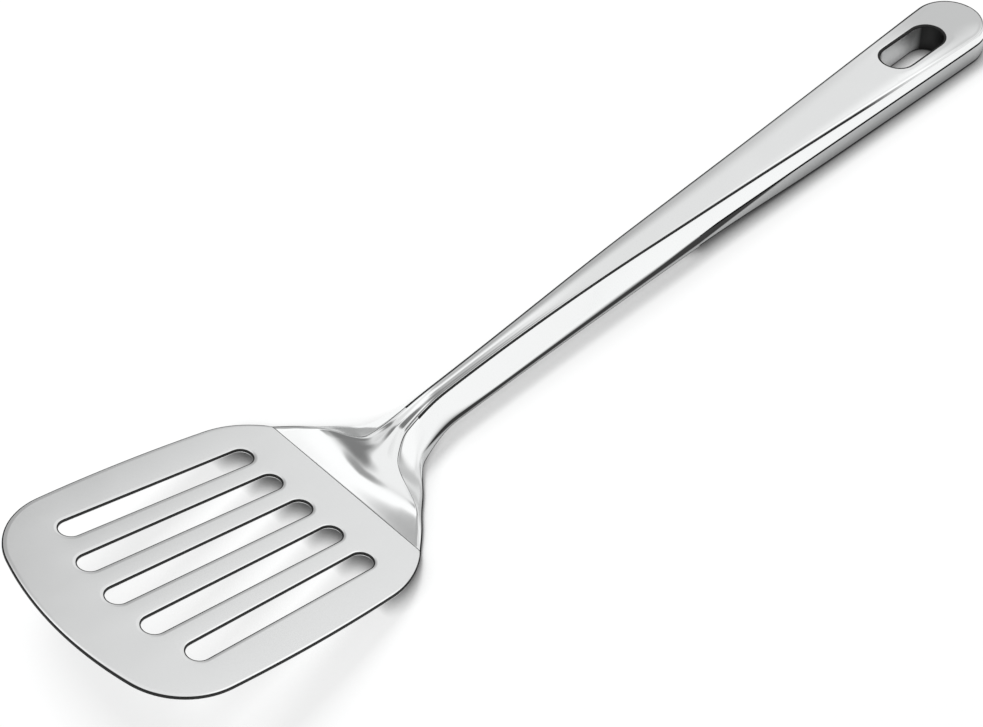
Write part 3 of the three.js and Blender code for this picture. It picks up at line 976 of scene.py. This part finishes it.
def painted_studio_floor():
    """Smooth board painted matt white."""
    # near the spatula it shows the soft shadow, and farther off it is the white of the background
    material, tree = surface("board_painted_matt_white")
    place = add(tree, "TexCoord")
    distance = add(tree, "VectorMath", {"operation": "LENGTH"}, in0=place.outputs["Object"])
    far = add(
        tree,
        "MapRange",
        {"interpolation_type": "SMOOTHSTEP"},
        Value=distance.outputs["Value"],
        From_Min=WHITE_FROM,
        From_Max=WHITE_TO,
    )
    seen = add(tree, "LightPath")
    straight = add(
        tree,
        "Math",
        {"operation": "MAXIMUM"},
        in0=seen.outputs["Is Camera Ray"],
        in1=seen.outputs["Is Glossy Ray"],
    )
    clear = add(
        tree,
        "Math",
        {"operation": "MAXIMUM"},
        in0=straight.outputs[0],
        in1=seen.outputs["Is Transmission Ray"],
    )
    # close under the spatula the board is left in its shade
    open_sky = add(tree, "AmbientOcclusion", {"samples": 8}, Distance=5.5 * MM)
    shaded = add(tree, "Math", {"operation": "POWER"}, in0=open_sky.outputs["AO"], in1=2.5)
    lit = add(tree, "Math", {"operation": "MULTIPLY"}, in0=shaded.outputs[0], in1=0.72)
    bare = add(tree, "Math", {"operation": "MAXIMUM"}, in0=far.outputs[0], in1=lit.outputs[0])
    share = add(tree, "Math", {"operation": "MULTIPLY"}, in0=bare.outputs[0], in1=clear.outputs[0])
    # the brush leaves a stipple of about 3 mm
    stipple = add(tree, "TexNoise", Vector=place.outputs["Object"], Scale=1 / (3 * MM))
    tone = add(
        tree,
        "MixRGB",
        Fac=stipple.outputs[0],
        Color1=linear("#D8D9D9"),
        Color2=linear("#DADBDB"),
    )
    # close under the spatula the paint is also darkened: a painted contact shade
    painted_contact_shade = add(tree, "MixRGB", Fac=shaded.outputs[0], Color1=linear("#585858"), Color2=tone.outputs[0])
    paint = add(tree, "BsdfDiffuse", Color=painted_contact_shade.outputs[0])
    white = add(tree, "Emission", Color=(1, 1, 1, 1), Strength=1.0)
    mixed = add(tree, "MixShader", Fac=share.outputs[0], in1=paint.outputs[0], in2=white.outputs[0])
    add(tree, "OutputMaterial", Surface=mixed.outputs[0])
    return material


# Studio


def toward(azimuth, elevation):
    """Unit direction, with azimuth from +X towards +Y."""
    a, e = math.radians(azimuth), math.radians(elevation)
    return (math.cos(e) * math.cos(a), math.cos(e) * math.sin(a), math.sin(e))


# Cards round the table: direction, inner and outer half angle, brightness
CARDS = (
    (toward(215, 45), 12, 42, 0.38),  # wide grey card by the camera, in the spatula's far side
    (toward(-75, 5), 28, 50, 1.0),  # white card on the near side, in the flank
    (toward(11, 43), 6, 14, 1.15),  # white card at the right, along the rims of the slots
    (toward(-85, 57), 10, 25, 1.05),  # white card over it, in the brow's near side
    (toward(155, 56), 15, 35, 0.95),  # white card at the left, in the nose of the neck
    (toward(70, 56), 8, 18, 1.1),  # white card behind, in the apron
    (toward(57, 57), 2, 8, 0.45),  # grey card beside it, in the apron's near corner
    (toward(60, 27), 6, 20, 0.42),  # grey card behind, in the far side of the handle's back
    (toward(100, 57), 2, 7, 0.35),  # grey card behind the blade, in the foot of the fold
    (toward(115, 44), 3, 15, 0.22),  # dark card behind the blade, in the fold of the neck
    (toward(99, 77), 4, 11, 0.2),  # dark card over the blade, in the brow of the neck
    (toward(40, 70), 6, 14, 0.25),  # grey card overhead, in the near shoulder
)


def studio_world():
    """Tent with white and grey cards that only reflections show. The camera sees plain white."""
    world = bpy.data.worlds.new("studio_tent")
    world.use_nodes = True
    tree = world.node_tree
    tree.nodes.clear()
    place = add(tree, "TexCoord")
    height = add(tree, "SeparateXYZ", Vector=place.outputs["Generated"])
    light = add(
        tree,
        "MapRange",
        {"interpolation_type": "SMOOTHSTEP"},
        Value=height.outputs["Z"],
        From_Min=0.03,
        From_Max=0.45,
        To_Min=TENT_LOW,
        To_Max=TENT_HIGH,
    ).outputs[0]
    for direction, inner, outer, brightness in CARDS:
        facing = add(
            tree, "VectorMath", {"operation": "DOT_PRODUCT"}, in0=place.outputs["Generated"], in1=direction
        )
        inside = add(
            tree,
            "MapRange",
            {"interpolation_type": "SMOOTHSTEP"},
            Value=facing.outputs["Value"],
            From_Min=math.cos(math.radians(outer)),
            From_Max=math.cos(math.radians(inner)),
        )
        light = add(tree, "Mix", in0=inside.outputs[0], in2=light, in3=brightness).outputs[0]
    seen = add(tree, "LightPath")
    shown = add(tree, "Mix", in0=seen.outputs["Is Camera Ray"], in2=light, in3=1.0)
    sky = add(tree, "Background", Color=(1, 1, 1, 1), Strength=shown.outputs[0])
    add(tree, "OutputWorld", Surface=sky.outputs[0])
    bpy.context.scene.world = world


def key_lamp():
    """Wide soft lamp behind and above, which lays the shadow on the near side."""
    lamp = bpy.data.lights.new("soft_key", "AREA")
    lamp.shape = "SQUARE"
    lamp.size = LAMP_SIZE
    lamp.energy = LAMP_WATTS
    key = bpy.data.objects.new("soft_key", lamp)
    key.location = LAMP_PLACE
    key.rotation_euler = (-key.location).to_track_quat("-Z", "Y").to_euler()
    key.visible_glossy = False
    bpy.context.scene.collection.objects.link(key)


def studio_floor():
    """Level board under the spatula."""
    bm = bmesh.new()
    bmesh.ops.create_grid(bm, x_segments=1, y_segments=1, size=FLOOR_REACH)
    mesh = bpy.data.meshes.new("studio_floor")
    bm.to_mesh(mesh)
    bm.free()
    mesh.materials.append(painted_studio_floor())
    floor = bpy.data.objects.new("studio_floor", mesh)
    bpy.context.scene.collection.objects.link(floor)


def photo_camera():
    """Camera at the photograph's place and angle."""
    lens = bpy.data.cameras.new("photo_camera")
    lens.sensor_fit = "HORIZONTAL"
    lens.sensor_width = SENSOR
    lens.lens = SENSOR * FOCAL_PIXELS / IMAGE_WIDTH
    lens.clip_start = 0.01
    camera = bpy.data.objects.new("photo_camera", lens)
    back = -CAMERA_FORWARD.normalized()
    right = CAMERA_UP.cross(back).normalized()
    up = back.cross(right)
    turn = Matrix((right, up, back)).transposed().to_4x4()
    camera.matrix_world = Matrix.Translation(placed(*CAMERA_PLACE)) @ turn
    bpy.context.scene.collection.objects.link(camera)
    bpy.context.scene.camera = camera


bpy.context.scene.view_settings.view_transform = "Standard"
photo_camera()
studio_world()
key_lamp()
studio_floor()

sheet_steel = satin_pressed_stainless()
edge_steel_painted_dark = sheared_edge_painted_dark()
handle_steel = buffed_stainless_painted_shade()
bore_steel = drawn_tube_painted_shade()
blade_and_neck([sheet_steel, edge_steel_painted_dark, handle_steel])
hang_spokes = handle_top([handle_steel, edge_steel_painted_dark, ridge_painted_dark_line()])
handle_bottom([handle_steel, edge_steel_painted_dark, edge_steel_painted_dark])
slot_liner(hang_spokes, [handle_steel, bore_steel, edge_steel_painted_dark])
